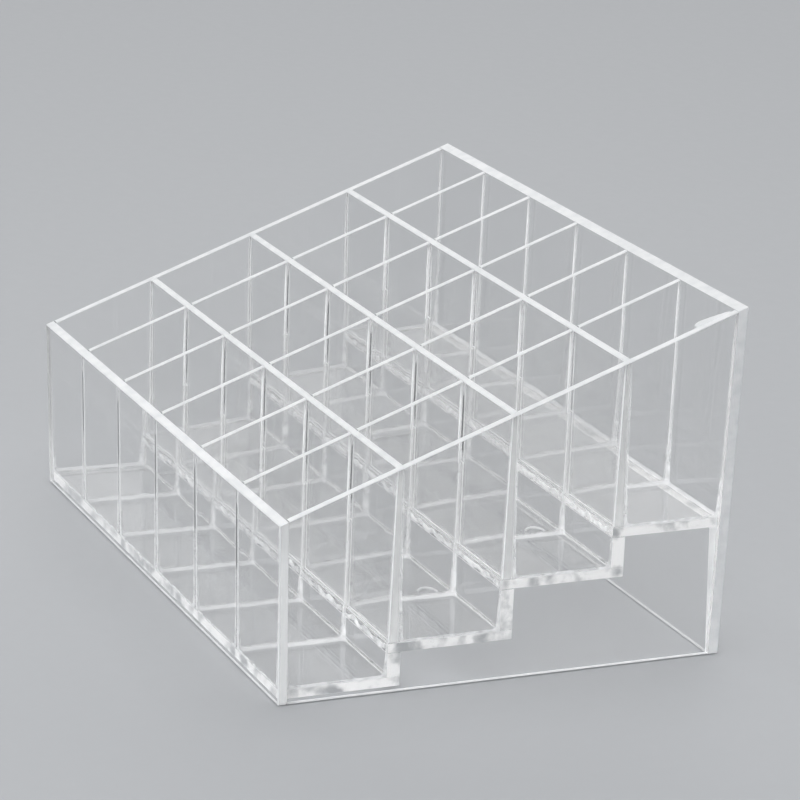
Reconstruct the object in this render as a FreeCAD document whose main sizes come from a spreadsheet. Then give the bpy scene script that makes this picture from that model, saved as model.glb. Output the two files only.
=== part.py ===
"""Clear stepped organizer for lipsticks and other slim cosmetics, as bonded panels.

Millimetres. X runs across the front, Y from front to back and Z up from the ground.
The origin is the middle of the space that the organizer takes up, at the ground.
All four walls lean out from the ground, and every upper edge lies in one sloping rim plane.
"""
import FreeCAD, Part
import os

import Sketcher

COLUMNS = 6
ROWS = 4

# Driving dimensions: alias, value, meaning
DRIVING = (
    ("base_width", 142.0, "outer width at the ground"),
    ("base_depth", 92.0, "outer depth at the ground"),
    ("front_height", 35.7, "outer rim of the front wall"),
    ("back_height", 70.5, "outer rim of the back wall"),
    ("lean_angle", 1.2, "lean of the four walls, in degrees"),
    ("front_thickness", 1.8, "front wall"),
    ("back_thickness", 2.0, "back wall"),
    ("ledge_foot", 2.2, "back wall with its ledge, at the ground"),
    ("ledge_top", 3.7, "back wall with its ledge, below the last floor"),
    ("side_thickness", 1.6, "side panels"),
    ("floor_thickness", 1.9, "step floors"),
    ("riser_thickness", 2.7, "step risers"),
    ("row_top_thickness", 1.2, "row dividers at the rim"),
    ("row_foot_thickness", 2.2, "row dividers at the foot"),
    ("column_thickness", 1.2, "column dividers"),
    ("foot_lift", 0.8, "underside of the first floor above the ground"),
    ("rise_1", 6.8, "first floor to second floor"),
    ("rise_2", 10.3, "second floor to third floor"),
    ("rise_3", 8.2, "third floor to fourth floor"),
    ("bond_gap", 0.05, "film of cement between bonded faces"),
    ("cut_overrun", 5.0, "how far a cut starts outside the panel"),
)

# Worked-out dimensions of the walls, the rim plane and the grid of cells
WALLS = (
    ("lean", "tan(lean_angle * 1deg)", "lean out for each millimetre of height"),
    ("half_base", "base_width / 2", "outer face of a side panel at the ground"),
    ("rim_width", "base_width + 2 * back_height * lean", "widest outer width"),
    ("front_y", "-(base_depth + (back_height - front_height) * lean) / 2", "front face at the ground"),
    ("back_y", "front_y + base_depth", "back face at the ground"),
    ("front_rim_y", "front_y - front_height * lean", "front face at its rim"),
    ("back_rim_y", "back_y + back_height * lean", "back face at its rim"),
    ("rim_depth", "back_rim_y - front_rim_y", "largest outer depth"),
    ("rim_slope", "(back_height - front_height) / rim_depth", "rise of the rim plane"),
    ("rim_middle", "front_height - front_rim_y * rim_slope", "height of the rim plane over the origin"),
    ("front_inner_y", "front_y + front_thickness", "inner face of the front wall at the ground"),
    ("back_inner_y", "back_y - back_thickness", "inner face of the back wall at the ground"),
    ("side_inner_x", "half_base - side_thickness", "inner face of a side panel at the ground"),
    ("mouth_front_y", "front_inner_y - front_height * lean", "front end of the first row at the rim"),
    ("mouth_back_y", "back_inner_y + back_height * lean", "back end of the last row at the rim"),
    ("mouth_half", "side_inner_x + rim_middle * lean", "half the width of the cells at the rim"),
    ("row_pitch", f"(mouth_back_y - mouth_front_y + row_top_thickness) / {ROWS}", "row to row"),
    ("column_pitch", f"(2 * mouth_half + column_thickness) / {COLUMNS}", "column to column"),
    ("row_lap_thickness", "(row_top_thickness + row_foot_thickness) / 2", "row dividers at mid-height"),
)


def floor_cells():
    """Heights of each floor's underside and top."""
    for row in range(1, ROWS + 1):
        underside = "foot_lift" if row == 1 else f"floor_z_{row - 1} + rise_{row - 1}"
        yield f"floor_z_{row}", underside, f"underside of floor {row}"
        yield f"floor_top_{row}", f"floor_z_{row} + floor_thickness", f"top of floor {row}"


def row_cells():
    """Places of each row divider and of the riser below it."""
    for row in range(1, ROWS):
        place = f"mouth_front_y + {row} * row_pitch - row_top_thickness / 2"
        yield f"row_y_{row}", place, f"row divider {row}"
        yield f"riser_front_{row}", f"row_y_{row} - row_foot_thickness / 2", f"front of riser {row}"
        yield f"riser_back_{row}", f"riser_front_{row} + riser_thickness", f"back of riser {row}"
        rim_height = f"rim_middle + row_y_{row} * rim_slope"
        yield f"lap_z_{row}", f"(floor_top_{row + 1} + {rim_height}) / 2", f"half lap in row divider {row}"


def column_cells():
    """Place of each column divider across the width."""
    for column in range(1, COLUMNS):
        place = f"{column} * column_pitch - column_thickness / 2 - mouth_half"
        yield f"column_x_{column}", place, f"column divider {column}"


def fill_sheet(doc):
    """The sheet of dimensions, which every sketch and feature reads."""
    sheet = doc.addObject("Spreadsheet::Sheet", "Sizes")
    worked_out = [*WALLS, *floor_cells(), *row_cells(), *column_cells()]
    cells = [*DRIVING, *((alias, f"={formula}", note) for alias, formula, note in worked_out)]
    for line, (alias, content, note) in enumerate(cells, 1):
        sheet.set(f"A{line}", note)
        sheet.set(f"B{line}", str(content))
        sheet.setAlias(f"B{line}", alias)
    doc.recompute()


def at_rim(y):
    """A point of the rim plane, by its place from front to back."""
    return y, f"Sizes.rim_middle + ({y}) * Sizes.rim_slope"


def on_front_wall(offset, z):
    """A point at some offset from the front wall's outer face, at a height."""
    return f"Sizes.front_y + {offset} - ({z}) * Sizes.lean", z


def on_back_wall(offset, z):
    """A point at some offset from the back wall's outer face, at a height."""
    return f"Sizes.back_y - ({offset}) + ({z}) * Sizes.lean", z


def front_wall_rim(offset):
    """Where a line along the leaning front wall meets the rim plane."""
    foot_height = f"Sizes.rim_middle + (Sizes.front_y + {offset}) * Sizes.rim_slope"
    return on_front_wall(offset, f"({foot_height}) / (1 + Sizes.lean * Sizes.rim_slope)")


def back_wall_rim(offset):
    """Where a line along the leaning back wall meets the rim plane."""
    foot_height = f"Sizes.rim_middle + (Sizes.back_y - ({offset})) * Sizes.rim_slope"
    return on_back_wall(offset, f"({foot_height}) / (1 - Sizes.lean * Sizes.rim_slope)")


def leaning(side, x, z):
    """A point on a line that leans out with a side panel; side is -1 or 1."""
    return f"{side} * ({x} + ({z}) * Sizes.lean)", z


def between_sides(x, low, high):
    """An upright outline whose two ends lean out with the side panels."""
    return [leaning(-1, x, low), leaning(1, x, low), leaning(1, x, high), leaning(-1, x, high)]


def rectangle(left, right, low, high):
    return [(left, low), (right, low), (right, high), (left, high)]


def new_body(doc, label):
    body = doc.addObject("PartDesign::Body", label)
    body.Label = label
    return body


def add_sketch(body, plane, *outlines):
    """Closed outlines of straight edges on an origin plane; each point is a pair of expressions."""
    sketch = body.newObject("Sketcher::SketchObject", f"{body.Label}_{plane}")
    support = next(feature for feature in body.Origin.OriginFeatures if feature.Role == plane)
    sketch.AttachmentSupport = (support, [""])
    sketch.MapMode = "FlatFace"
    for outline in outlines:
        first = sketch.GeometryCount
        corners = [FreeCAD.Vector(*map(sketch.evalExpression, point)) for point in outline]
        edges = [first + index for index in range(len(outline))]
        following = edges[1:] + edges[:1]
        for start, end in zip(corners, corners[1:] + corners[:1]):
            sketch.addGeometry(Part.LineSegment(start, end), False)
        for edge, after in zip(edges, following):
            sketch.addConstraint(Sketcher.Constraint("Coincident", edge, 2, after, 1))
        for edge, corner, point in zip(edges, corners, outline):
            for kind, distance, expression in zip(("DistanceX", "DistanceY"), corner, point):
                constraint = sketch.addConstraint(Sketcher.Constraint(kind, -1, 1, edge, 1, distance))
                sketch.setExpression(f"Constraints[{constraint}]", expression)
    return sketch


def pad(body, plane, outline, length):
    """A section of the panel, drawn out evenly to both sides of an origin plane."""
    feature = body.newObject("PartDesign::Pad", f"{body.Label}_pad")
    feature.Profile = add_sketch(body, plane, outline)
    feature.SideType = "Symmetric"
    feature.setExpression("Length", length)


def trim(body, plane, outline):
    """Cuts away everything outside an outline, right through the panel."""
    reach = {"XZ_Plane": "Sizes.rim_width", "YZ_Plane": "Sizes.rim_depth"}[plane]
    top = "Sizes.back_height + Sizes.cut_overrun"
    frame = rectangle(f"-{reach}", reach, "-Sizes.cut_overrun", top)
    feature = body.newObject("PartDesign::Pocket", f"{body.Label}_trim")
    feature.Profile = add_sketch(body, plane, frame, outline)
    feature.Type = "ThroughAll"
    feature.SideType = "Symmetric"


def make_front_wall(doc):
    body = new_body(doc, "front_wall")
    inner = "Sizes.front_thickness"
    section = [on_front_wall("0", "0"), on_front_wall(inner, "0"), front_wall_rim(inner), front_wall_rim("0")]
    pad(body, "YZ_Plane", section, "Sizes.rim_width")
    trim(body, "XZ_Plane", between_sides("Sizes.half_base", "0", "Sizes.back_height"))
    return body


def make_back_wall(doc):
    """The high wall, with a ledge between the side panels that widens up to the last floor."""
    body = new_body(doc, "back_wall")
    inner = "Sizes.back_thickness"
    under_floor = f"Sizes.floor_z_{ROWS} - Sizes.bond_gap"
    ledge = [on_back_wall("Sizes.ledge_foot", "0"), on_back_wall(f"{inner} / 2", "0")]
    ledge += [on_back_wall(f"{inner} / 2", under_floor), on_back_wall("Sizes.ledge_top", under_floor)]
    pad(body, "YZ_Plane", ledge, "Sizes.rim_width")
    trim(body, "XZ_Plane", between_sides("Sizes.side_inner_x - Sizes.bond_gap", "0", "Sizes.back_height"))
    section = [on_back_wall(inner, "0"), on_back_wall("0", "0"), back_wall_rim("0"), back_wall_rim(inner)]
    pad(body, "YZ_Plane", section, "Sizes.rim_width")
    trim(body, "XZ_Plane", between_sides("Sizes.half_base", "0", "Sizes.back_height"))
    return body


def make_side_panel(doc, label, side):
    """A panel between the front and back walls; side is -1 on the left and 1 on the right."""
    body = new_body(doc, label)
    inner, outer, top = "Sizes.side_inner_x", "Sizes.half_base", "Sizes.back_height"
    section = [leaning(side, inner, "0"), leaning(side, outer, "0")]
    section += [leaning(side, outer, top), leaning(side, inner, top)]
    pad(body, "XZ_Plane", section, "2 * Sizes.rim_depth")
    front = "Sizes.front_thickness + Sizes.bond_gap"
    back = "Sizes.back_thickness + Sizes.bond_gap"
    outline = [on_front_wall(front, "0"), on_back_wall(back, "0"), back_wall_rim(back), front_wall_rim(front)]
    trim(body, "YZ_Plane", outline)
    return body


def make_floor(doc, row):
    """A floor from the riser in front, or the front wall, over its own riser or up to the back wall."""
    body = new_body(doc, f"step_floor_{row}")
    low, high = f"Sizes.floor_z_{row}", f"Sizes.floor_top_{row}"
    front = f"Sizes.riser_front_{row - 1}"
    back = f"Sizes.riser_back_{row}"
    if row == 1:
        front = on_front_wall("Sizes.front_thickness + Sizes.bond_gap", low)[0]
    if row == ROWS:
        back = on_back_wall("Sizes.back_thickness + Sizes.bond_gap", low)[0]
    width = f"2 * (Sizes.side_inner_x - Sizes.bond_gap + {low} * Sizes.lean)"
    pad(body, "YZ_Plane", rectangle(front, back, low, high), width)
    return body


def make_riser(doc, row):
    """An upright strip on one floor's back margin, below the front margin of the next floor."""
    body = new_body(doc, f"step_riser_{row}")
    low = f"Sizes.floor_top_{row} + Sizes.bond_gap"
    high = f"Sizes.floor_z_{row + 1} - Sizes.bond_gap"
    section = rectangle(f"Sizes.riser_front_{row}", f"Sizes.riser_back_{row}", low, high)
    pad(body, "YZ_Plane", section, "Sizes.rim_width")
    trim(body, "XZ_Plane", between_sides("Sizes.side_inner_x - Sizes.bond_gap", "0", "Sizes.back_height"))
    return body


def make_row_divider(doc, row):
    """A tapering divider across all columns, with slots from below for the column dividers."""
    body = new_body(doc, f"row_divider_{row}")
    middle = f"Sizes.row_y_{row}"
    foot = f"Sizes.floor_top_{row + 1} + Sizes.bond_gap"
    half_foot, half_top = "Sizes.row_foot_thickness / 2", "Sizes.row_top_thickness / 2"
    section = [(f"{middle} - {half_foot}", foot), (f"{middle} + {half_foot}", foot)]
    section += [at_rim(f"{middle} + {half_top}"), at_rim(f"{middle} - {half_top}")]
    pad(body, "YZ_Plane", section, "Sizes.rim_width")

    lap = f"Sizes.lap_z_{row} + Sizes.bond_gap / 2"
    half_slot = "(Sizes.column_thickness / 2 + Sizes.bond_gap)"
    ends = between_sides("Sizes.side_inner_x - Sizes.bond_gap", foot, "Sizes.back_height")
    slots = []
    for column in range(1, COLUMNS):
        left = f"Sizes.column_x_{column} - {half_slot}"
        right = f"Sizes.column_x_{column} + {half_slot}"
        slots += [(left, foot), (left, lap), (right, lap), (right, foot)]
    trim(body, "XZ_Plane", ends[:1] + slots + ends[1:])
    return body


def make_column_divider(doc, column):
    """A divider from front to back on all floors, with slots from above for the row dividers."""
    body = new_body(doc, f"column_divider_{column}")
    front = "Sizes.front_thickness + Sizes.bond_gap"
    back = "Sizes.back_thickness + Sizes.bond_gap"
    outline = [on_front_wall(front, "Sizes.floor_top_1 + Sizes.bond_gap")]
    for row in range(1, ROWS):
        step = f"Sizes.riser_front_{row} - Sizes.bond_gap"
        outline += [(step, f"Sizes.floor_top_{floor} + Sizes.bond_gap") for floor in (row, row + 1)]
    outline += [on_back_wall(back, f"Sizes.floor_top_{ROWS} + Sizes.bond_gap"), back_wall_rim(back)]
    half_mouth = "(Sizes.row_top_thickness / 2 + Sizes.bond_gap)"
    half_lap = "(Sizes.row_lap_thickness / 2 + Sizes.bond_gap)"
    for row in reversed(range(1, ROWS)):
        middle = f"Sizes.row_y_{row}"
        lap = f"Sizes.lap_z_{row} - Sizes.bond_gap / 2"
        outline += [at_rim(f"{middle} + {half_mouth}"), (f"{middle} + {half_lap}", lap)]
        outline += [(f"{middle} - {half_lap}", lap), at_rim(f"{middle} - {half_mouth}")]
    outline.append(front_wall_rim(front))
    pad(body, "YZ_Plane", outline, "Sizes.column_thickness")
    body.setExpression("Placement.Base.x", f"Sizes.column_x_{column}")
    return body


def make_panels(doc):
    yield make_front_wall(doc)
    yield make_back_wall(doc)
    yield make_side_panel(doc, "left_side_panel", -1)
    yield make_side_panel(doc, "right_side_panel", 1)
    for row in range(1, ROWS + 1):
        yield make_floor(doc, row)
    for row in range(1, ROWS):
        yield make_riser(doc, row)
        yield make_row_divider(doc, row)
    for column in range(1, COLUMNS):
        yield make_column_divider(doc, column)


def check(doc, panels):
    """Stops before anything is written if a feature failed or a panel isn't one good solid."""
    for feature in doc.Objects:
        if {"Invalid", "Error"} & set(feature.State):
            raise RuntimeError(f"{feature.Label} failed: {feature.State}")
    for panel in panels:
        shape = panel.Shape
        if shape.isNull() or not shape.isValid() or len(shape.Solids) != 1:
            raise RuntimeError(f"{panel.Label} isn't one valid solid")


def main():
    doc = FreeCAD.newDocument("organizer")
    fill_sheet(doc)
    panels = list(make_panels(doc))
    doc.recompute()
    check(doc, panels)
    os.makedirs("parts", exist_ok=True)
    for panel in panels:
        panel.Shape.exportStep(f"parts/{panel.Label}.step")
        box = panel.Shape.BoundBox
        print(f"{panel.Label}: {box.XLength:.2f} x {box.YLength:.2f} x {box.ZLength:.2f} mm")


main()
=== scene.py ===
"""Clear stepped cosmetics organizer: its panels, cement, mould marks and studio."""
import math
import random

import bpy
from mathutils import Matrix, Vector, noise
from mathutils.bvhtree import BVHTree


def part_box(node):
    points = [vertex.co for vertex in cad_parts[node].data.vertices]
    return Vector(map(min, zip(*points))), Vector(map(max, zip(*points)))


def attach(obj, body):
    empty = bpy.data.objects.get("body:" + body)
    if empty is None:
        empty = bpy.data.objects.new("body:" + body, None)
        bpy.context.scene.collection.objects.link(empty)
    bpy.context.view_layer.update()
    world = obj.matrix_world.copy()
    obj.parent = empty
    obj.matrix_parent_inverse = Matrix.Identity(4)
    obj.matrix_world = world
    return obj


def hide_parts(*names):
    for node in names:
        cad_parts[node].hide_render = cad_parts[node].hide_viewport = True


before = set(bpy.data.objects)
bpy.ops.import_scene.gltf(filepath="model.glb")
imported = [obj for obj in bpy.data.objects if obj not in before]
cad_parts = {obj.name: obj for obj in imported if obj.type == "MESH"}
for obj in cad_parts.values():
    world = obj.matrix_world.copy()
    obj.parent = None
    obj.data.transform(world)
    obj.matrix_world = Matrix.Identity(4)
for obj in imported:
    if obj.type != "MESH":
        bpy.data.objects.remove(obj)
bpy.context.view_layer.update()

bl_info = {
    "name": "Clear cosmetics organizer",
    "version": (1, 0, 0),
    "blender": (4, 5, 0),
    "location": "View3D > Sidebar > Organizer",
    "description": "Models a clear stepped organizer of bonded panels and its studio",
    "category": "Object",
}

MM = 0.001
ROWS, COLUMNS = 4, 6
X_AXIS, Y_AXIS, Z_AXIS = 0, 1, 2

# Cleaning and easing the copies of the panels
SAME_PLACE = 0.001 * MM
FLAT_ANGLE = math.radians(0.5)
SHARP_ANGLE = math.radians(30)
EASE_SEGMENTS = 2
JOINT_REACH = 0.5 * MM

# How much of a side's normal points along an axis
STRAIGHT_SHARE = 0.99
NEARLY_STRAIGHT_SHARE = 0.9
HALF_SHARE = 0.5
SLIGHT_SHARE = 0.1

# Where a cell looks for the panels round it, and the corners of a ring as right and back
LOOK_ABOVE_STEP = 2 * MM
LOOK_RISE = 12 * MM
LAST_ROW_STEP = 8 * MM
RIM_ROUNDS = 3
RING = ((0, 0), (1, 0), (1, 1), (0, 1))

# Cement in the corners of a cell
CEMENT_BELOW_RIM = 0.8 * MM
HOLLOW_ABOVE_RIM = 6 * MM
HOLLOW_CUTS = 2.6 * MM
HOLLOW_SEGMENTS = 6
CEMENT_WAVES = 9 * MM

# Beads along the risers, with a line of noise each for the swelling and the rising
BEAD_SIDES = 14
BEAD_END_GAP = 0.8 * MM
BEAD_CUTS = 0.45 * MM
BEAD_BUBBLES = 2 * MM
BEAD_SMOOTH_ANGLE = math.radians(60)
SWELL_LINE, RISE_LINE = 0, 5

# Pin marks, with how far the one in each row lies from the last divider and from the riser
PIN_MARK_INSETS = {2: (1.858 * MM, 4.55 * MM), 3: (1.708 * MM, 4.856 * MM)}
PIN_MARK_LIFT = 0.02 * MM
PIN_MARK_SIDES, PIN_MARK_STEPS = 12, 32
PIN_MARK_SWEEP = math.radians(140)
PIN_MARK_LOW_SHARE = 0.25
MARK_SMOOTH_ANGLE = math.radians(50)

# The sliver on the rim
BURR_BACK_GAP = 0.846 * MM
BURR_THICKNESS = 0.8 * MM
BURR_SUNK_SHARE = 0.6
BURR_SLICES = 10
BURR_BLUNT_SHARE, BURR_SWELL = 0.6, 2.5
BURR_TAPER_SHARE, BURR_TAPER_POWER = 0.8, 1.6
BURR_RAGGED = 0.08 * MM
BURR_WORN = 0.1 * MM
BURR_SEED = 7

# Refraction of the two plastics, and how much of a lamp's light one clear surface lets through
PLASTIC_IOR, CEMENT_IOR = 1.55, 1.5
LAMP_TINT = (0.95, 0.95, 0.95, 1.0)

# Studio: each softbox has its place, its width and height in metres, and its power in watts
FLOOR_SIZE = 8.0
FLOOR_GAP = 0.2 * MM
SKY_STRENGTH = 0.45
LAMP_AIM = (0, 0, 0.03)
SOFTBOXES = {
    "overhead softbox": ((0.0, 0.1, 1.0), (0.8, 0.8), 4.6),
    "back softbox": ((-1.0, 0.45, 0.5), (1.4, 0.8), 2.8),
    "front softbox": ((-0.25, -1.2, 0.3), (1.7, 0.56), 6.3),
    "right softbox": ((1.15, -0.8, 0.55), (1.8, 1.0), 11.6),
}
CAMERA_SENSOR, CAMERA_LENS, CAMERA_NEAREST = 36.0, 165.45, 0.01
CAMERA_AZIMUTH, CAMERA_ELEVATION = math.radians(66.902), math.radians(16.632)
CAMERA_ROLL = math.radians(1.911)
CAMERA_AIM = (1.008 * MM, 6.189 * MM, 34.88 * MM)
CAMERA_DISTANCE = 0.7566
CLEAR_BOUNCES, GLOSSY_BOUNCES, OPEN_BOUNCES = 48, 24, 96


def linear(hex_colour):
    """An sRGB hex value as linear red, green, blue and alpha."""
    channels = [int(hex_colour[i:i + 2], 16) / 255 for i in (1, 3, 5)]
    return (*(c / 12.92 if c <= 0.04045 else ((c + 0.055) / 1.055) ** 2.4 for c in channels), 1.0)


def set_up(tree, node, settings=None, **links):
    """Gives a node its settings, which are properties and socket values, and links its other sockets."""
    for name, value in (settings or {}).items():
        if name in node.inputs:
            node.inputs[name].default_value = value
        else:
            setattr(node, name, value)
    for name, socket in links.items():
        tree.links.new(socket, node.inputs[name.replace("_", " ")])
    return node


def add_node(tree, kind, settings=None, **links):
    """Adds a node with its settings and links."""
    return set_up(tree, tree.nodes.new(kind), settings, **links)


# Properties

class OrganizerSizes(bpy.types.PropertyGroup):
    """Sizes of the details that the dressed model adds to the solids."""
    edge_ease: bpy.props.FloatProperty(
        name="Edge ease", description="Rounding along every panel edge",
        default=0.2 * MM, min=0.0, unit="LENGTH")
    bond_ease: bpy.props.FloatProperty(
        name="Bonded edge ease", description="Rounding along the edges of floors and risers",
        default=0.06 * MM, min=0.0, unit="LENGTH")
    cement_clearance: bpy.props.FloatProperty(
        name="Cement clearance", description="Air between the cement and the panels it joins",
        default=0.03 * MM, min=0.0, unit="LENGTH")
    cement_radius: bpy.props.FloatProperty(
        name="Cement radius", description="Radius of the hollow face of the cement in each corner",
        default=1.6 * MM, min=0.0, unit="LENGTH")
    cement_reach_floor: bpy.props.FloatProperty(
        name="Cement reach below the floor",
        description="How far the hollow face passes below a cell's floor",
        default=0.3 * MM, min=0.0, unit="LENGTH")
    cement_reach_foot: bpy.props.FloatProperty(
        name="Cement reach at the foot",
        description="How far the hollow face passes behind a panel at the floor",
        default=0.13 * MM, min=0.0, unit="LENGTH")
    cement_reach_step: bpy.props.FloatProperty(
        name="Cement reach at the step",
        description="How far it passes behind a panel at the next step's height",
        default=0.28 * MM, min=0.0, unit="LENGTH")
    cement_reach_rim: bpy.props.FloatProperty(
        name="Cement reach at the rim",
        description="How far the hollow face passes behind a panel at the rim",
        default=0.38 * MM, min=0.0, unit="LENGTH")
    riser_cement_share: bpy.props.FloatProperty(
        name="Riser cement share",
        description="Radius along a riser's foot, as a share of the other corners'",
        default=0.66, min=0.0, max=1.0)
    froth_start: bpy.props.FloatProperty(
        name="Froth start",
        description="Height above the floor where the bubbly part of an upright corner starts",
        default=0.9 * MM, min=0.0, unit="LENGTH")
    froth_end: bpy.props.FloatProperty(
        name="Froth end",
        description="Height above the floor where the bubbly part of an upright corner ends",
        default=4.2 * MM, min=0.0, unit="LENGTH")
    cement_wobble: bpy.props.FloatProperty(
        name="Cement wobble", description="Unevenness of the hollow face of the cement",
        default=0.05 * MM, min=0.0, unit="LENGTH")
    bead_height: bpy.props.FloatProperty(
        name="Bead height", description="Height of the bead along a riser's top seam",
        default=1.1 * MM, min=0.0, unit="LENGTH")
    bead_thickness: bpy.props.FloatProperty(
        name="Bead thickness", description="How far the bead stands out from the seam",
        default=0.4 * MM, min=0.0, unit="LENGTH")
    bead_clearance: bpy.props.FloatProperty(
        name="Bead clearance", description="Air between the middle of the bead and the seam",
        default=0.05 * MM, min=0.0, unit="LENGTH")
    bead_wobble: bpy.props.FloatProperty(
        name="Bead wobble", description="How far the bead swells and shrinks",
        default=0.35 * MM, min=0.0, unit="LENGTH")
    bead_wave: bpy.props.FloatProperty(
        name="Bead wave", description="Length of the bead's swells along the seam",
        default=3.2 * MM, min=0.0, unit="LENGTH")
    bead_rise: bpy.props.FloatProperty(
        name="Bead rise", description="How far the bead climbs and sinks along the seam",
        default=0.7 * MM, min=0.0, unit="LENGTH")
    bead_swell_share: bpy.props.FloatProperty(
        name="Bead swell share",
        description="How much the bead's height swells and shrinks, as a share of it",
        default=0.75, min=0.0, max=0.9)
    pin_mark_radius: bpy.props.FloatProperty(
        name="Pin mark radius", description="Radius of the round marks on two of the floors",
        default=1.95 * MM, min=0.0, unit="LENGTH")
    pin_mark_bead: bpy.props.FloatProperty(
        name="Pin mark bead", description="Radius of the fine ridge round a pin mark",
        default=0.3 * MM, min=0.0, unit="LENGTH")
    burr_length: bpy.props.FloatProperty(
        name="Burr length", description="Length of the sliver on the right panel's rim",
        default=6.9 * MM, min=0.0, unit="LENGTH")
    burr_width: bpy.props.FloatProperty(
        name="Burr width", description="Width of the sliver at its blunt front end",
        default=2.3 * MM, min=0.0, unit="LENGTH")


class OrganizerColours(bpy.types.PropertyGroup):
    """Colours of the plastic, its cement and the studio floor."""
    plastic: bpy.props.FloatVectorProperty(
        name="Plastic", description="Tint of the clear panels", subtype="COLOR", size=4,
        min=0.0, max=1.0, default=linear("#FDFDFD"))
    # The edge colour also paints the highlight on the pin marks, and is part of the painted highlight on the
    # cement.
    edge: bpy.props.FloatVectorProperty(
        name="Edge", description="Pale cloud on the cut edges and in the cement", subtype="COLOR", size=4,
        min=0.0, max=1.0, default=linear("#FAFBFC"))
    floor: bpy.props.FloatVectorProperty(
        name="Studio floor", description="Pale floor under the object", subtype="COLOR", size=4,
        min=0.0, max=1.0, default=linear("#B9BBBE"))


# Materials

def chosen_colour(name):
    """A colour from the properties, as its user set it."""
    return getattr(bpy.context.scene.organizer_colours, name)


def new_material(name):
    """A new material with its node tree, its shader and the object's own coordinates."""
    material = bpy.data.materials.new(name)
    material.use_nodes = True
    tree = material.node_tree
    place = add_node(tree, "ShaderNodeTexCoord").outputs["Object"]
    return material, tree, tree.nodes["Principled BSDF"], place


def let_lamps_through(tree, shader):
    """Lets a lamp's light pass a clear surface, so that what stands inside is lit."""
    path = add_node(tree, "ShaderNodeLightPath")
    open_way = add_node(tree, "ShaderNodeBsdfTransparent", {"Color": LAMP_TINT})
    mix = add_node(tree, "ShaderNodeMixShader", Fac=path.outputs["Is Shadow Ray"])
    tree.links.new(shader.outputs["BSDF"], mix.inputs[1])
    tree.links.new(open_way.outputs["BSDF"], mix.inputs[2])
    tree.links.new(mix.outputs["Shader"], tree.nodes["Material Output"].inputs["Surface"])


def clear_polystyrene():
    # Moulded against polished steel: clear and glossy, with slow waves and upright flow streaks that
    # bend what is seen through it, and a breath of handling haze.
    material, tree, shader, place = new_material("clear polystyrene, moulded")
    upright = add_node(tree, "ShaderNodeMapping", {"Scale": (1.0, 1.0, 0.2)}, Vector=place)
    waves = add_node(tree, "ShaderNodeTexNoise", {"Scale": 1 / (16 * MM), "Detail": 1.0}, Vector=place)
    streaks = add_node(tree, "ShaderNodeTexNoise", {"Scale": 1 / (5 * MM), "Detail": 1.0},
                       Vector=upright.outputs["Vector"])
    slow = add_node(tree, "ShaderNodeBump", {"Strength": 1.0, "Distance": 0.035 * MM},
                    Height=waves.outputs["Fac"])
    quick = add_node(tree, "ShaderNodeBump", {"Strength": 1.0, "Distance": 0.005 * MM},
                     Height=streaks.outputs["Fac"], Normal=slow.outputs["Normal"])
    patches = add_node(tree, "ShaderNodeTexNoise", {"Scale": 1 / (11 * MM), "Detail": 3.0}, Vector=place)
    haze = add_node(tree, "ShaderNodeMapRange",
                    {"From Min": 0.35, "From Max": 0.75, "To Min": 0.006, "To Max": 0.03},
                    Value=patches.outputs["Fac"])
    set_up(tree, shader,
           {"Base Color": chosen_colour("plastic"), "IOR": PLASTIC_IOR, "Transmission Weight": 1.0},
           Roughness=haze.outputs["Result"], Normal=quick.outputs["Normal"])
    let_lamps_through(tree, shader)
    return material


def cloudy_edge():
    # Cut and flame-eased: the fine tooth scatters light, so the edge shows as a pale satin line.
    # On the pin marks this same pale finish is a painted highlight on their ridges.
    material, tree, shader, place = new_material("clear polystyrene, cloudy cut edge")
    cloud = add_node(tree, "ShaderNodeTexNoise", {"Scale": 1 / (3 * MM), "Detail": 3.0}, Vector=place)
    satin = add_node(tree, "ShaderNodeMapRange", {"To Min": 0.28, "To Max": 0.5}, Value=cloud.outputs["Fac"])
    tooth = add_node(tree, "ShaderNodeTexNoise", {"Scale": 1 / (0.5 * MM), "Detail": 2.0}, Vector=place)
    bump = add_node(tree, "ShaderNodeBump", {"Strength": 1.0, "Distance": 0.02 * MM},
                    Height=tooth.outputs["Fac"])
    tones = add_node(tree, "ShaderNodeValToRGB", Fac=cloud.outputs["Fac"])
    low, high = tones.color_ramp.elements
    low.position, low.color = 0.3, linear("#E9EBED")
    high.position, high.color = 0.65, chosen_colour("edge")
    set_up(tree, shader, {"IOR": PLASTIC_IOR, "Transmission Weight": 0.2}, Base_Color=tones.outputs["Color"],
           Roughness=satin.outputs["Result"], Normal=bump.outputs["Normal"])
    return material


def hazy_end():
    # Sawn and scraped: the end stays smooth but scatters a little, so that an upright end reads as one
    # even grey strip and not as a mirror.
    material, tree, shader, place = new_material("clear polystyrene, scraped end")
    along = add_node(tree, "ShaderNodeMapping", {"Scale": (1.0, 1.0, 0.12)}, Vector=place)
    scrape = add_node(tree, "ShaderNodeTexNoise", {"Scale": 1 / (1.2 * MM), "Detail": 2.0},
                      Vector=along.outputs["Vector"])
    haze = add_node(tree, "ShaderNodeMapRange", {"To Min": 0.2, "To Max": 0.3}, Value=scrape.outputs["Fac"])
    tones = add_node(tree, "ShaderNodeValToRGB", Fac=scrape.outputs["Fac"])
    low, high = tones.color_ramp.elements
    low.position, low.color = 0.3, linear("#E3E4E5")
    high.position, high.color = 0.7, linear("#F5F6F6")
    set_up(tree, shader, {"IOR": PLASTIC_IOR, "Transmission Weight": 0.6},
           Base_Color=tones.outputs["Color"], Roughness=haze.outputs["Result"])
    return material


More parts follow.
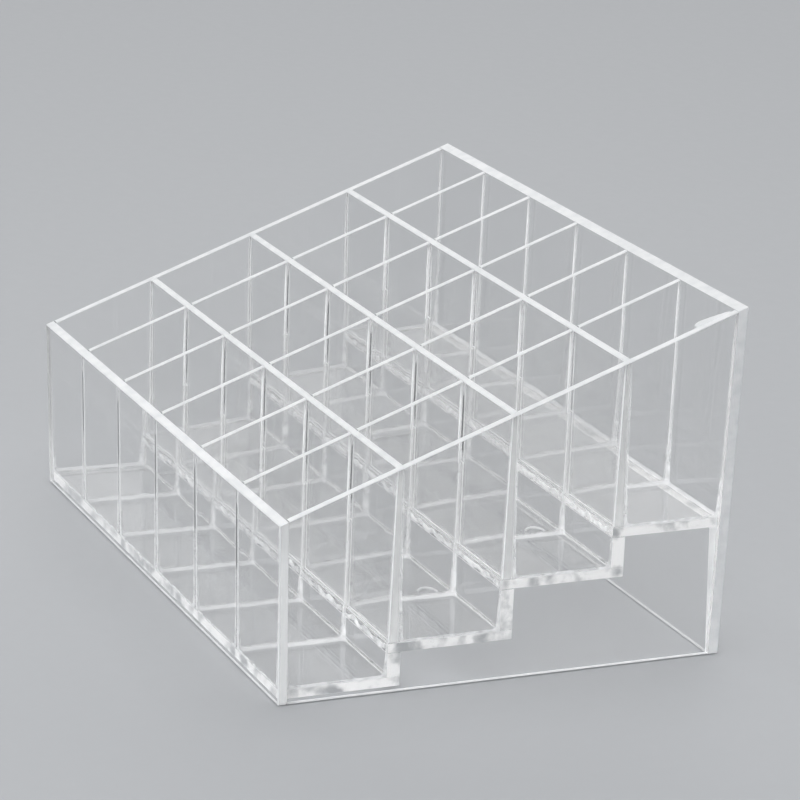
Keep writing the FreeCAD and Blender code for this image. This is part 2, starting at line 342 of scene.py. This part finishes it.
def mottled_end():
    # Wetted with solvent and pressed home: white where air stayed in the joint, clear where it closed,
    # and whitest by the dividers' feet.
    material, tree, shader, place = new_material("clear polystyrene, mottled bonded end")
    patches = add_node(tree, "ShaderNodeTexNoise", {"Scale": 1 / (4 * MM), "Detail": 3.0}, Vector=place)
    across = add_node(tree, "ShaderNodeSeparateXYZ", Vector=place).outputs["X"]
    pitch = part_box("column_divider_2")[0].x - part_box("column_divider_1")[0].x
    from_foot = add_node(tree, "ShaderNodeMath", {"operation": "PINGPONG"})
    from_foot.inputs[1].default_value = pitch / 2
    tree.links.new(across, from_foot.inputs[0])
    extra = add_node(tree, "ShaderNodeMapRange",
                     {"From Min": 0.5 * MM, "From Max": 1.5 * MM, "To Min": 0.25, "To Max": 0.0},
                     Value=from_foot.outputs["Value"])
    white = add_node(tree, "ShaderNodeMath", {"operation": "ADD"})
    tree.links.new(patches.outputs["Fac"], white.inputs[0])
    tree.links.new(extra.outputs["Result"], white.inputs[1])
    tones = add_node(tree, "ShaderNodeValToRGB", Fac=white.outputs["Value"])
    low, high = tones.color_ramp.elements
    low.position, low.color = 0.36, linear("#B6B9BC")
    high.position, high.color = 0.55, linear("#FFFFFF")
    closed = add_node(tree, "ShaderNodeMapRange",
                      {"From Min": low.position, "From Max": high.position, "To Min": 0.5, "To Max": 0.05},
                      Value=white.outputs["Value"])
    set_up(tree, shader, {"Roughness": 0.3, "IOR": PLASTIC_IOR},
           Base_Color=tones.outputs["Color"], Transmission_Weight=closed.outputs["Result"])
    return material


def solvent_cement(name, clearest, whitest):
    # Drawn into the corners and set: smooth and faintly milky. Its white is partly a painted highlight,
    # standing in for the glints of clear cement, so each corner shows as a soft pale line.
    material, tree, shader, place = new_material(name)
    ripple = add_node(tree, "ShaderNodeTexNoise", {"Scale": 1 / (6 * MM), "Detail": 1.0}, Vector=place)
    bump = add_node(tree, "ShaderNodeBump", {"Strength": 1.0, "Distance": 0.05 * MM},
                    Height=ripple.outputs["Fac"])
    # How milky the cement is, and with it how strong its painted highlight is.
    milk_and_glint = add_node(tree, "ShaderNodeMapRange",
                    {"From Min": 0.3, "From Max": 0.7, "To Min": clearest, "To Max": whitest},
                    Value=ripple.outputs["Fac"])
    set_up(tree, shader, {"Base Color": chosen_colour("edge"), "Roughness": 0.15, "IOR": CEMENT_IOR},
           Alpha=milk_and_glint.outputs["Result"], Normal=bump.outputs["Normal"])
    return material


def foot_cement():
    # A full bead ran along the floor, so it set whiter than on the uprights; the extra white is also a
    # painted highlight of the light from above.
    return solvent_cement("solvent cement, set milky", 0.3, 0.5)


def upright_cement():
    # Only a thin film climbed the corners, so most of what lies behind it still shows.
    return solvent_cement("solvent cement, thin film", 0.12, 0.32)


def bubbly_cement():
    # Squeezed out along a seam with air in it: nearly clear between white clots, and wet-looking all over.
    # The white clots are partly air and partly a painted highlight, standing in for the glints on a clear
    # bead.
    material, tree, shader, place = new_material("solvent cement, bubbly")
    clots = add_node(tree, "ShaderNodeTexNoise", {"Scale": 1 / (3.4 * MM), "Detail": 1.0}, Vector=place)
    # White clots from air in the cement, which also paint the bead's highlights.
    milk_and_glint = add_node(tree, "ShaderNodeMapRange",
                    {"From Min": 0.4, "From Max": 0.62, "To Min": 0.2, "To Max": 0.75},
                    Value=clots.outputs["Fac"])
    set_up(tree, shader, {"Base Color": chosen_colour("edge"), "Roughness": 0.06, "IOR": CEMENT_IOR},
           Alpha=milk_and_glint.outputs["Result"])
    return material


def matt_floor():
    # Rolled paint on a board: plain and matt, so that the clear object shows against it.
    material, tree, shader, place = new_material("matt paint, pale studio floor")
    grain = add_node(tree, "ShaderNodeTexNoise", {"Scale": 1 / (4 * MM), "Detail": 3.0}, Vector=place)
    matt = add_node(tree, "ShaderNodeMapRange", {"To Min": 0.52, "To Max": 0.68}, Value=grain.outputs["Fac"])
    set_up(tree, shader, {"Base Color": chosen_colour("floor")}, Roughness=matt.outputs["Result"])
    return material


MAKERS = {"face": clear_polystyrene, "edge": cloudy_edge, "hazy end": hazy_end, "mottled end": mottled_end,
          "cement": foot_cement, "thin cement": upright_cement, "bubbly cement": bubbly_cement,
          "studio floor": matt_floor}
made = {}


def finish_of(kind):
    """The material of that kind, made the first time it is asked for."""
    if kind not in made:
        made[kind] = MAKERS[kind]()
    return made[kind]


# Modelling

def only(piece):
    """Selects one object and nothing else."""
    bpy.ops.object.select_all(action="DESELECT")
    piece.select_set(True)
    bpy.context.view_layer.objects.active = piece


def edit_all(piece):
    """Starts to edit a piece, with all of it selected."""
    only(piece)
    bpy.ops.object.mode_set(mode="EDIT")
    bpy.ops.mesh.select_all(action="SELECT")


def object_mode():
    bpy.ops.object.mode_set(mode="OBJECT")


def start_from(add_primitive, name, **settings):
    """Adds a primitive with nothing else selected, and keeps its turn in its mesh."""
    bpy.ops.object.select_all(action="DESELECT")
    add_primitive(**settings)
    bpy.ops.object.transform_apply(location=True, rotation=True, scale=True)
    piece = bpy.context.active_object
    piece.name = name
    return piece


def apply_modifier(piece, name, kind, **settings):
    """Adds a modifier with those settings and applies it."""
    modifier = piece.modifiers.new(name, kind)
    for key, value in settings.items():
        setattr(modifier, key, value)
    only(piece)
    bpy.ops.object.modifier_apply(modifier=modifier.name)


def smooth(piece, angle):
    """Shades a piece smooth, apart from edges sharper than the angle."""
    only(piece)
    bpy.ops.object.shade_smooth_by_angle(angle=angle)


def cut_along(piece, axis, spacing):
    """Cuts a piece across an axis at even spacing."""
    places = [v.co[axis] for v in piece.data.vertices]
    low, high = min(places), max(places)
    count = int((high - low) / spacing)
    for i in range(1, count):
        edit_all(piece)
        at, along = Vector(), Vector()
        at[axis] = low + (high - low) * i / count
        along[axis] = 1.0
        bpy.ops.mesh.bisect(plane_co=at, plane_no=along)
        object_mode()


def join(pieces, name):
    """Joins objects into the first of them, under one name."""
    bpy.ops.object.select_all(action="DESELECT")
    for piece in pieces:
        piece.select_set(True)
    bpy.context.view_layer.objects.active = pieces[0]
    bpy.ops.object.join()
    pieces[0].name = name
    return pieces[0]


def trim(piece, kind):
    """Gives a small piece its material and its place on the object."""
    piece.data.materials.clear()
    piece.data.materials.append(finish_of(kind))
    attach(piece, "root")


# Cells

trees = {}


def seen(node_name, start, direction):
    """Where a look from start that way meets a CAD panel."""
    if node_name not in trees:
        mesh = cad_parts[node_name].data
        trees[node_name] = BVHTree.FromPolygons(
            [v.co for v in mesh.vertices], [p.vertices for p in mesh.polygons])
    place = trees[node_name].ray_cast(start, direction)[0]
    if place is None:
        raise RuntimeError(f"{node_name} isn't where its cell expects it")
    return place


def face_line(node_name, start, direction, axis):
    """A panel face's place on an axis at any height, from two looks at it."""
    low = seen(node_name, start, direction)
    high = seen(node_name, start + Vector((0, 0, LOOK_RISE)), direction)
    slope = (high[axis] - low[axis]) / (high.z - low.z)
    return lambda height: low[axis] + slope * (height - low.z)


def rim_height(y):
    """Height of the sloping rim over a place from front to back."""
    front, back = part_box("front_wall"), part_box("back_wall")
    slope = (back[1].z - front[1].z) / (back[1].y - front[0].y)
    return front[1].z + slope * (y - front[0].y)


class Cell:
    """The inside of one cell, measured from the panels round it."""

    def __init__(self, row, column):
        left = f"column_divider_{column - 1}" if column > 1 else "left_side_panel"
        right = f"column_divider_{column}" if column < COLUMNS else "right_side_panel"
        front = f"row_divider_{row - 1}" if row > 1 else "front_wall"
        back = f"row_divider_{row}" if row < ROWS else "back_wall"
        self.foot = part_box(f"step_floor_{row}")[1].z
        # The last row has no step behind it, so its middle ring has a height of its own.
        self.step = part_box(f"step_floor_{row + 1}")[1].z if row < ROWS else self.foot + LAST_ROW_STEP
        middle = Vector(((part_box(left)[1].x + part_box(right)[0].x) / 2,
                         (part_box(front)[1].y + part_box(back)[0].y) / 2, self.step + LOOK_ABOVE_STEP))
        self.left = face_line(left, middle, Vector((-1, 0, 0)), X_AXIS)
        self.right = face_line(right, middle, Vector((1, 0, 0)), X_AXIS)
        self.front = face_line(front, middle, Vector((0, -1, 0)), Y_AXIS)
        upper_back = face_line(back, middle, Vector((0, 1, 0)), Y_AXIS)
        straight = row < ROWS
        self.back = lambda height: upper_back(max(height, self.step) if straight else height)

    def corner(self, right, back, height, grow):
        """One corner at a height, moved outward."""
        x = self.right(height) + grow if right else self.left(height) - grow
        y = self.back(height) + grow if back else self.front(height) - grow
        return Vector((x, y, height))

    def ring(self, height, grow):
        """All four corners at a height, moved outward."""
        return [self.corner(right, back, height, grow) for right, back in RING]

    def rim_ring(self, lift, grow):
        """The corners at the sloping rim, moved up and outward."""
        corners = []
        for right, back in RING:
            # The walls lean, so a corner's place and the rim's height over it settle in a few rounds.
            height = self.step
            for _ in range(RIM_ROUNDS):
                height = rim_height(self.back(height) if back else self.front(height))
            corners.append(self.corner(right, back, height + lift, grow))
        return corners

    def rings(self, below, at_foot, at_step, at_rim, lift):
        """Its corners at the floor, the next step and the rim, moved outward, and down and up at the ends."""
        return [self.ring(self.foot - below, at_foot), self.ring(self.step, at_step),
                self.rim_ring(lift, at_rim)]


# Panels

def side_of_panel(node_name, normal, thin_axis):
    """The finish of one side of a panel."""
    across = abs(normal[thin_axis])
    if across > STRAIGHT_SHARE:
        return "face"
    if across > SLIGHT_SHARE:
        return "edge"
    if "step" in node_name:
        bonded_front = node_name == "step_floor_1" and normal.y < -NEARLY_STRAIGHT_SHARE
        return "mottled end" if bonded_front or abs(normal.x) > NEARLY_STRAIGHT_SHARE else "face"
    # On the back wall only the ledge looks straight up, because the rim slopes.
    if node_name == "back_wall" and normal.z > STRAIGHT_SHARE:
        return "mottled end"
    if abs(normal.z) > HALF_SHARE:
        return "edge" if normal.z > 0 or "divider" not in node_name else "face"
    if "column" in node_name:
        return "face"
    return "edge" if node_name == "back_wall" else "hazy end"


def in_wall_joint(node_name, start, end):
    """Whether a panel's edge is an upright one in a joint between a wall and a side panel."""
    if abs(start.z - end.z) < (start - end).xy.length:
        return False
    if "side_panel" in node_name:
        return True
    if "wall" not in node_name:
        return False
    inner_face = Cell(1, 1).front if node_name == "front_wall" else Cell(ROWS, 1).back
    middle = (start + end) / 2
    return abs(middle.y - inner_face(middle.z)) < JOINT_REACH


def weigh_panel_edges(piece, node_name):
    """Marks a panel's sharp edges to be eased, apart from those that are bonded between the walls."""
    edit_all(piece)
    bpy.ops.mesh.select_mode(type="EDGE")
    bpy.ops.mesh.select_all(action="DESELECT")
    bpy.ops.mesh.edges_select_sharp(sharpness=SHARP_ANGLE)
    bpy.ops.transform.edge_bevelweight(value=1.0)
    bpy.ops.mesh.select_mode(type="VERT")
    object_mode()
    weights = piece.data.attributes["bevel_weight_edge"].data
    for edge in piece.data.edges:
        start, end = (piece.data.vertices[i].co for i in edge.vertices)
        if in_wall_joint(node_name, start, end):
            weights[edge.index].value = 0.0


def panel(node_name, thin_axis, slot):
    """A panel with eased edges, clear on its two faces and cloudy on its edges."""
    sizes = bpy.context.scene.organizer_sizes
    piece = bpy.data.objects.new(f"{node_name}_panel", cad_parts[node_name].data.copy())
    bpy.context.scene.collection.objects.link(piece)
    edit_all(piece)
    bpy.ops.mesh.remove_doubles(threshold=SAME_PLACE)
    bpy.ops.mesh.dissolve_limited(angle_limit=FLAT_ANGLE)
    object_mode()
    weigh_panel_edges(piece, node_name)
    ease = sizes.bond_ease if slot == "clear_step" else sizes.edge_ease
    apply_modifier(piece, "eased edges", "BEVEL", width=ease, segments=EASE_SEGMENTS, limit_method="WEIGHT")
    piece.data.materials.clear()
    kinds = []
    for polygon in piece.data.polygons:
        kind = side_of_panel(node_name, polygon.normal, thin_axis)
        if kind not in kinds:
            kinds.append(kind)
        polygon.material_index = kinds.index(kind)
        polygon.use_smooth = False
    for kind in kinds:
        piece.data.materials.append(finish_of(kind))
    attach(piece, "root")
    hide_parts(node_name)


# Cement

def cell_block(name, rings):
    """A six-sided block with a ring of corners between its foot and its top."""
    block = start_from(bpy.ops.mesh.primitive_cube_add, name, size=2.0)
    edit_all(block)
    bpy.ops.mesh.bisect(plane_co=(0, 0, 0), plane_no=(0, 0, 1))
    object_mode()
    for vertex in block.data.vertices:
        x, y, z = (round(c) for c in vertex.co)
        vertex.co = rings[z + 1][RING.index((x > 0, y > 0))]
    return block


def weigh_hollow_edges(hollow, cell, riser_share):
    """Marks the uprights and the foot of a hollow to be rounded, the foot by the riser by a share only."""
    weights = hollow.data.attributes.new("bevel_weight_edge", "FLOAT", "EDGE")
    middle_y = (cell.front(cell.foot) + cell.back(cell.foot)) / 2
    for edge in hollow.data.edges:
        start, end = (hollow.data.vertices[i].co for i in edge.vertices)
        at_foot = max(start.z, end.z) < cell.foot
        upright = abs(start.z - end.z) > (start - end).xy.length
        by_riser = at_foot and min(start.y, end.y) > middle_y
        weights.data[edge.index].value = riser_share if by_riser else float(at_foot or upright)


def cell_cement(row, column, wobble_texture):
    """The cement in the upright and floor corners of one cell, with a hollow, uneven face."""
    sizes = bpy.context.scene.organizer_sizes
    cell, gap = Cell(row, column), sizes.cement_clearance
    cement = cell_block(f"cement_{row}_{column}", cell.rings(-gap, -gap, -gap, -gap, -CEMENT_BELOW_RIM))
    hollow = cell_block("hollow", cell.rings(
        sizes.cement_reach_floor, sizes.cement_reach_foot, sizes.cement_reach_step, sizes.cement_reach_rim,
        HOLLOW_ABOVE_RIM))
    weigh_hollow_edges(hollow, cell, sizes.riser_cement_share if row < ROWS else 1.0)
    apply_modifier(hollow, "round", "BEVEL", width=sizes.cement_radius, segments=HOLLOW_SEGMENTS,
                   limit_method="WEIGHT", use_clamp_overlap=False)
    for axis in (X_AXIS, Y_AXIS, Z_AXIS):
        cut_along(hollow, axis, HOLLOW_CUTS)
    apply_modifier(hollow, "wobble", "DISPLACE", texture=wobble_texture, texture_coords="GLOBAL",
                   strength=sizes.cement_wobble, mid_level=0.5)
    apply_modifier(cement, "hollow face", "BOOLEAN", object=hollow, operation="DIFFERENCE", solver="EXACT")
    bpy.data.objects.remove(hollow, do_unlink=True)
    for kind in ("cement", "bubbly cement", "thin cement"):
        cement.data.materials.append(finish_of(kind))
    for polygon in cement.data.polygons:
        height = polygon.center.z - cell.foot
        polygon.material_index = (height > sizes.froth_start) + (height > sizes.froth_end)
    return cement


def seam_bead(row, column, bubbles):
    """An uneven, bubbly bead along the front end of the floor above a riser, from divider to divider."""
    sizes = bpy.context.scene.organizer_sizes
    low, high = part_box(f"step_floor_{row + 1}")
    middle, tall, thick = (low.z + high.z) / 2, sizes.bead_height, sizes.bead_thickness
    cell = Cell(row, column)
    start, end = cell.left(middle) + BEAD_END_GAP, cell.right(middle) - BEAD_END_GAP
    bead = start_from(bpy.ops.mesh.primitive_cylinder_add, f"bead_{row}_{column}", vertices=BEAD_SIDES,
                      radius=0.5, depth=1.0, rotation=(0, math.pi / 2, 0))
    edit_all(bead)
    bpy.ops.transform.resize(value=(end - start, thick, tall))
    bpy.ops.transform.translate(value=((start + end) / 2, low.y - sizes.bead_clearance - thick / 2, middle))
    object_mode()
    cut_along(bead, X_AXIS, BEAD_CUTS)
    apply_modifier(bead, "bubbles", "DISPLACE", texture=bubbles, texture_coords="GLOBAL",
                   direction="NORMAL", strength=sizes.bead_wobble, mid_level=0.5)
    for vertex in bead.data.vertices:
        along = vertex.co.x / sizes.bead_wave
        swell = 1 + sizes.bead_swell_share * noise.noise(Vector((along, row, SWELL_LINE)))
        rise = sizes.bead_rise * noise.noise(Vector((along, row, RISE_LINE)))
        vertex.co.z = middle + rise + (vertex.co.z - middle) * swell
        vertex.co.y = min(vertex.co.y, low.y - sizes.cement_clearance)
    return bead


def cloud_texture(name, size):
    """Soft clouds of about that size, which make a surface uneven."""
    texture = bpy.data.textures.new(name, "CLOUDS")
    texture.noise_scale = size
    texture.noise_depth = 1
    return texture


# Marks

def pin_mark(row):
    """The part of a mould pin's round mark that shows on a floor, as a ridge that is lower at its ends."""
    sizes = bpy.context.scene.organizer_sizes
    from_divider, from_riser = PIN_MARK_INSETS[row]
    place = Vector((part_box(f"column_divider_{COLUMNS - 1}")[0].x - from_divider,
                    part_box(f"step_riser_{row}")[0].y - from_riser,
                    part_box(f"step_floor_{row}")[1].z + PIN_MARK_LIFT))
    piece = start_from(bpy.ops.mesh.primitive_circle_add, f"pin_mark_{row}", vertices=PIN_MARK_SIDES,
                       radius=sizes.pin_mark_bead, fill_type="NGON", rotation=(math.pi / 2, 0, 0))
    edit_all(piece)
    bpy.ops.transform.translate(value=(0, sizes.pin_mark_radius, sizes.pin_mark_bead))
    bpy.ops.transform.rotate(value=math.pi / 2, orient_axis="Z",
                             center_override=(0, sizes.pin_mark_radius, 0))
    bpy.ops.mesh.spin(steps=PIN_MARK_STEPS, angle=-PIN_MARK_SWEEP, center=(0, 0, 0), axis=(0, 0, 1))
    bpy.ops.mesh.select_all(action="SELECT")
    bpy.ops.mesh.normals_make_consistent(inside=False)
    object_mode()
    for vertex in piece.data.vertices:
        sideways = math.sin(math.atan2(abs(vertex.co.x), abs(vertex.co.y)))
        vertex.co.z *= PIN_MARK_LOW_SHARE + (1 - PIN_MARK_LOW_SHARE) * sideways
        vertex.co += place
    smooth(piece, MARK_SMOOTH_ANGLE)
    return piece


def rim_burr():
    """A torn sliver on the inner rim of the right panel, blunt in front and thin behind."""
    sizes = bpy.context.scene.organizer_sizes
    draw = random.Random(BURR_SEED)
    piece = start_from(bpy.ops.mesh.primitive_cube_add, "rim_burr", size=1.0)
    cut_along(piece, Y_AXIS, 1 / BURR_SLICES)
    panel_face = Cell(ROWS, COLUMNS).right
    start_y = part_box("right_side_panel")[1].y - BURR_BACK_GAP - sizes.burr_length
    for vertex in piece.data.vertices:
        along = min(max(vertex.co.y + 0.5, 0.0), 1.0)
        y = start_y + along * sizes.burr_length
        blunt = min(BURR_BLUNT_SHARE + BURR_SWELL * along, 1.0)
        taper = blunt - BURR_TAPER_SHARE * along ** BURR_TAPER_POWER
        height = rim_height(y) + (vertex.co.z - BURR_SUNK_SHARE) * BURR_THICKNESS
        inward = (0.5 - vertex.co.x) * sizes.burr_width * taper
        ragged = draw.uniform(-BURR_RAGGED, BURR_RAGGED) if vertex.co.x < 0 else 0.0
        vertex.co = (panel_face(height) - sizes.cement_clearance - inward + ragged, y, height + ragged)
    apply_modifier(piece, "worn", "BEVEL", width=BURR_WORN, segments=EASE_SEGMENTS, limit_method="ANGLE")
    smooth(piece, MARK_SMOOTH_ANGLE)
    return piece


# Studio

def studio_floor():
    """A wide, plain floor just under the object."""
    bpy.ops.object.select_all(action="DESELECT")
    bpy.ops.mesh.primitive_plane_add(size=FLOOR_SIZE, location=(0, 0, -FLOOR_GAP))
    floor = bpy.context.active_object
    floor.name = "studio_floor"
    floor.data.materials.append(finish_of("studio floor"))


def studio_sky():
    """A soft sky, dark at the horizon and pale overhead."""
    world = bpy.data.worlds.new("studio")
    world.use_nodes = True
    tree = world.node_tree
    way = add_node(tree, "ShaderNodeTexCoord").outputs["Generated"]
    height = add_node(tree, "ShaderNodeSeparateXYZ", Vector=way).outputs["Z"]
    shade = add_node(tree, "ShaderNodeValToRGB", Fac=height)
    horizon, overhead = shade.color_ramp.elements
    horizon.position, horizon.color = 0.0, linear("#26282A")
    overhead.position, overhead.color = 0.8, linear("#EEF0F2")
    set_up(tree, tree.nodes["Background"], {"Strength": SKY_STRENGTH}, Color=shade.outputs["Color"])
    bpy.context.scene.world = world


def softbox(name, place, size, power):
    """A soft rectangular lamp that faces the object."""
    data = bpy.data.lights.new(name, "AREA")
    data.shape = "RECTANGLE"
    data.size, data.size_y = size
    data.energy = power
    lamp = bpy.data.objects.new(name, data)
    bpy.context.scene.collection.objects.link(lamp)
    lamp.location = place
    lamp.rotation_euler = (Vector(LAMP_AIM) - Vector(place)).to_track_quat("-Z", "Y").to_euler()


def photo_camera():
    """The camera, where the photograph was taken from."""
    camera = bpy.data.cameras.new("photo camera")
    camera.sensor_width = CAMERA_SENSOR
    camera.lens = CAMERA_LENS
    camera.clip_start = CAMERA_NEAREST
    holder = bpy.data.objects.new("photo camera", camera)
    bpy.context.scene.collection.objects.link(holder)
    level = math.cos(CAMERA_ELEVATION)
    back = Vector((math.sin(CAMERA_AZIMUTH) * level, -math.cos(CAMERA_AZIMUTH) * level,
                   math.sin(CAMERA_ELEVATION)))
    turn = (-back).to_track_quat("-Z", "Y").to_matrix() @ Matrix.Rotation(CAMERA_ROLL, 3, "Z")
    holder.matrix_world = Matrix.Translation(Vector(CAMERA_AIM) + back * CAMERA_DISTANCE) @ turn.to_4x4()
    bpy.context.scene.camera = holder


# Operators

class ORGANIZER_OT_walls(bpy.types.Operator):
    """Models the front and back walls and the two side panels"""
    bl_idname = "organizer.walls"
    bl_label = "Outer walls"

    def execute(self, context):
        for name in ("front_wall", "back_wall"):
            panel(name, Y_AXIS, "clear_wall")
        for name in ("left_side_panel", "right_side_panel"):
            panel(name, X_AXIS, "clear_wall")
        return {"FINISHED"}


class ORGANIZER_OT_steps(bpy.types.Operator):
    """Models the stepped floors and the risers between them"""
    bl_idname = "organizer.steps"
    bl_label = "Floors and risers"

    def execute(self, context):
        for row in range(1, ROWS + 1):
            panel(f"step_floor_{row}", Z_AXIS, "clear_step")
        for row in range(1, ROWS):
            panel(f"step_riser_{row}", Y_AXIS, "clear_step")
        return {"FINISHED"}


class ORGANIZER_OT_dividers(bpy.types.Operator):
    """Models the row and column dividers that halve into each other"""
    bl_idname = "organizer.dividers"
    bl_label = "Dividers"

    def execute(self, context):
        for row in range(1, ROWS):
            panel(f"row_divider_{row}", Y_AXIS, "clear_divider")
        for column in range(1, COLUMNS):
            panel(f"column_divider_{column}", X_AXIS, "clear_divider")
        return {"FINISHED"}


class ORGANIZER_OT_cement(bpy.types.Operator):
    """Models the cement in the corners of every cell"""
    bl_idname = "organizer.cement"
    bl_label = "Cell cement"

    def execute(self, context):
        wobble = cloud_texture("cement wobble", CEMENT_WAVES)
        for row in range(1, ROWS + 1):
            cells = [cell_cement(row, column, wobble) for column in range(1, COLUMNS + 1)]
            piece = join(cells, f"cell_cement_row_{row}")
            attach(piece, "root")
        return {"FINISHED"}


class ORGANIZER_OT_beads(bpy.types.Operator):
    """Models the bubbly bead of cement along the top of each riser"""
    bl_idname = "organizer.beads"
    bl_label = "Seam beads"

    def execute(self, context):
        bubbles = cloud_texture("bead bubbles", BEAD_BUBBLES)
        for row in range(1, ROWS):
            beads = [seam_bead(row, column, bubbles) for column in range(1, COLUMNS + 1)]
            piece = join(beads, f"riser_seam_bead_{row}")
            smooth(piece, BEAD_SMOOTH_ANGLE)
            trim(piece, "bubbly cement")
        return {"FINISHED"}


class ORGANIZER_OT_marks(bpy.types.Operator):
    """Models the round pin marks on two floors and the burr on the rim"""
    bl_idname = "organizer.marks"
    bl_label = "Mould marks"

    def execute(self, context):
        for row in PIN_MARK_INSETS:
            # The pale edge finish on a pin mark's ridge is a painted highlight, so the ridge shows as a
            # bright arc.
            trim(pin_mark(row), "edge")
        trim(rim_burr(), "edge")
        return {"FINISHED"}


class ORGANIZER_OT_stage(bpy.types.Operator):
    """Sets up the floor, the lamps, the world and the camera"""
    bl_idname = "organizer.stage"
    bl_label = "Studio"

    def execute(self, context):
        studio_floor()
        studio_sky()
        for name, (place, size, power) in SOFTBOXES.items():
            softbox(name, place, size, power)
        photo_camera()
        context.scene.view_settings.view_transform = "Standard"
        # A look through the rows passes dozens of clear faces, so light gets as many bounces.
        context.scene.cycles.max_bounces = CLEAR_BOUNCES
        context.scene.cycles.transmission_bounces = CLEAR_BOUNCES
        context.scene.cycles.glossy_bounces = GLOSSY_BOUNCES
        context.scene.cycles.transparent_max_bounces = OPEN_BOUNCES
        return {"FINISHED"}


class ORGANIZER_PT_sidebar(bpy.types.Panel):
    """Lists the steps that model the organizer"""
    bl_idname = "ORGANIZER_PT_sidebar"
    bl_label = "Organizer"
    bl_space_type = "VIEW_3D"
    bl_region_type = "UI"
    bl_category = "Organizer"

    def draw(self, context):
        for group in (context.scene.organizer_sizes, context.scene.organizer_colours):
            for name in group.__annotations__:
                self.layout.prop(group, name)
        for step in STEPS:
            self.layout.operator(step.bl_idname)


STEPS = (ORGANIZER_OT_walls, ORGANIZER_OT_steps, ORGANIZER_OT_dividers, ORGANIZER_OT_cement,
         ORGANIZER_OT_beads, ORGANIZER_OT_marks, ORGANIZER_OT_stage)
CLASSES = (OrganizerSizes, OrganizerColours, *STEPS, ORGANIZER_PT_sidebar)


def register():
    for cls in CLASSES:
        bpy.utils.register_class(cls)
    bpy.types.Scene.organizer_sizes = bpy.props.PointerProperty(type=OrganizerSizes)
    bpy.types.Scene.organizer_colours = bpy.props.PointerProperty(type=OrganizerColours)


def unregister():
    del bpy.types.Scene.organizer_colours
    del bpy.types.Scene.organizer_sizes
    for cls in reversed(CLASSES):
        bpy.utils.unregister_class(cls)


def main():
    register()
    bpy.ops.organizer.walls()
    bpy.ops.organizer.steps()
    bpy.ops.organizer.dividers()
    bpy.ops.organizer.cement()
    bpy.ops.organizer.beads()
    bpy.ops.organizer.marks()
    bpy.ops.organizer.stage()


if __name__ == "__main__":
    main()
